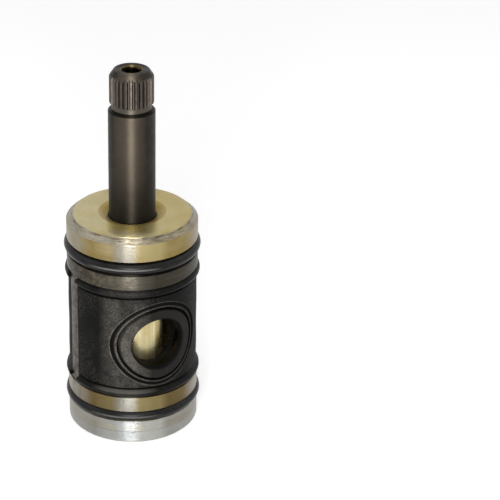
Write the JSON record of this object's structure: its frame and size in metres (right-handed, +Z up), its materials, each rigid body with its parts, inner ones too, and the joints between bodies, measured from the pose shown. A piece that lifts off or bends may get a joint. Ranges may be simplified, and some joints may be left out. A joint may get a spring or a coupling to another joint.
{
  "type": "diverter cartridge",
  "caption": "Two-way water diverter cartridge: round brass body with side ports, saddle seals and O-rings, turned by a splined stem.",
  "frame": {"origin": "centre of the body's bottom face, on the stem's axis", "axes": "+Z up along the stem; -Y out of the front port and +Y out of the rear port; +X towards the stop pin"},
  "size_m": [0.0298, 0.0298, 0.0829],
  "materials": {
    "body_brass": "machined, lightly scratched",
    "stem_bronze": "dark satin",
    "rotor_brass": "fine turned",
    "ring_brass": "turned",
    "pin_steel": "ground",
    "spring_steel": "rolled strip",
    "saddle_rubber": "matte moulded",
    "seat_rubber": "matte",
    "oring_rubber": "greased, half gloss",
    "washer_plastic": "smooth"
  },
  "bodies": {
    "housing": {"body": "body_brass", "retainer_ring": "ring_brass", "stop_pin": "pin_steel", "front_port_saddle": "saddle_rubber", "rear_port_saddle": "saddle_rubber", "front_port_seat": "seat_rubber", "rear_port_seat": "seat_rubber", "upper_body_oring": "oring_rubber", "lower_body_oring": "oring_rubber", "stem_thrust_washer": "washer_plastic", "rotor_thrust_washer": "washer_plastic", "wave_spring": "spring_steel"},
    "plug": {"stem": "stem_bronze", "rotor": "rotor_brass", "upper_stem_oring": "oring_rubber", "lower_stem_oring": "oring_rubber"}
  },
  "joints": [
    {"name": "stem_turn", "type": "hinge", "parent": "housing", "child": "plug", "pos_m": [0, 0, 0.025], "axis": [0, 0, 1], "range_deg": [-108.4, 71.6]}
  ]
}
